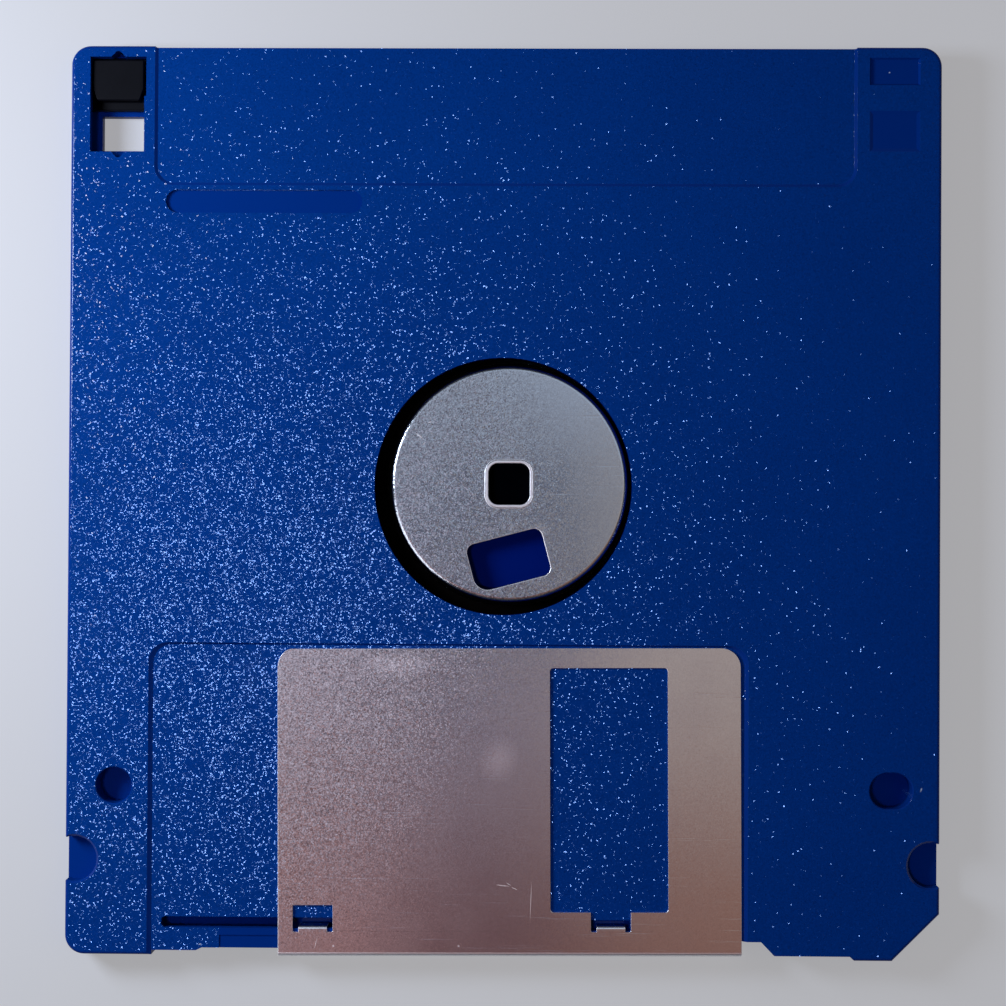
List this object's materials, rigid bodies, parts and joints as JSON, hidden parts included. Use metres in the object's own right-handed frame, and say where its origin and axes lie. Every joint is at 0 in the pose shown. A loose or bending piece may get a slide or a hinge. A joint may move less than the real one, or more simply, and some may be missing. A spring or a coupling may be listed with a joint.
{
  "type": "floppy disk",
  "caption": "Thin square disk cartridge: a moulded case with a sliding metal shutter, a steel hub that turns in an opening and a sliding write-protect tab.",
  "frame": {"origin": "middle of the case's outline on its label face, which it lies on", "axes": "+Z out of the hub side, +Y to the label end, +X to the side with the keyed corner; the shutter end, which goes into a drive first, is at -Y"},
  "size_m": [0.09, 0.0941, 0.0033],
  "materials": {
    "case": "fine spark-eroded grain",
    "liner": "soft non-woven",
    "lifter": "clear film",
    "medium": "burnished coating",
    "adhesive": "clear",
    "hub_steel": "tumbled matt",
    "shutter_steel": "satin",
    "spring_wire": "drawn wire",
    "tab": "satin"
  },
  "bodies": {
    "case": {"front_shell": "case", "back_shell": "case", "front_liner": "liner", "back_liner": "liner", "lifter": "lifter", "shutter_spring": "spring_wire"},
    "disk": {"magnetic_disk": "medium", "hub_adhesive": "adhesive", "hub": "hub_steel"},
    "shutter": {"shutter": "shutter_steel"},
    "write_tab": {"write_protect_tab": "tab"}
  },
  "joints": [
    {"name": "shutter_slide", "type": "slide", "parent": "case", "child": "shutter", "axis": [-1, 0, 0], "range_m": [0, 0.0125], "stiffness_N_per_m": 20, "springref_m": -0.01, "deforming": ["shutter_spring"]},
    {"name": "disk_spin", "type": "hinge", "parent": "case", "child": "disk", "pos_m": [0.00062, 0.00176, 0], "axis": [0, 0, 1], "continuous": true},
    {"name": "write_tab_slide", "type": "slide", "parent": "case", "child": "write_tab", "axis": [0, -1, 0], "range_m": [0, 0.0045]}
  ]
}
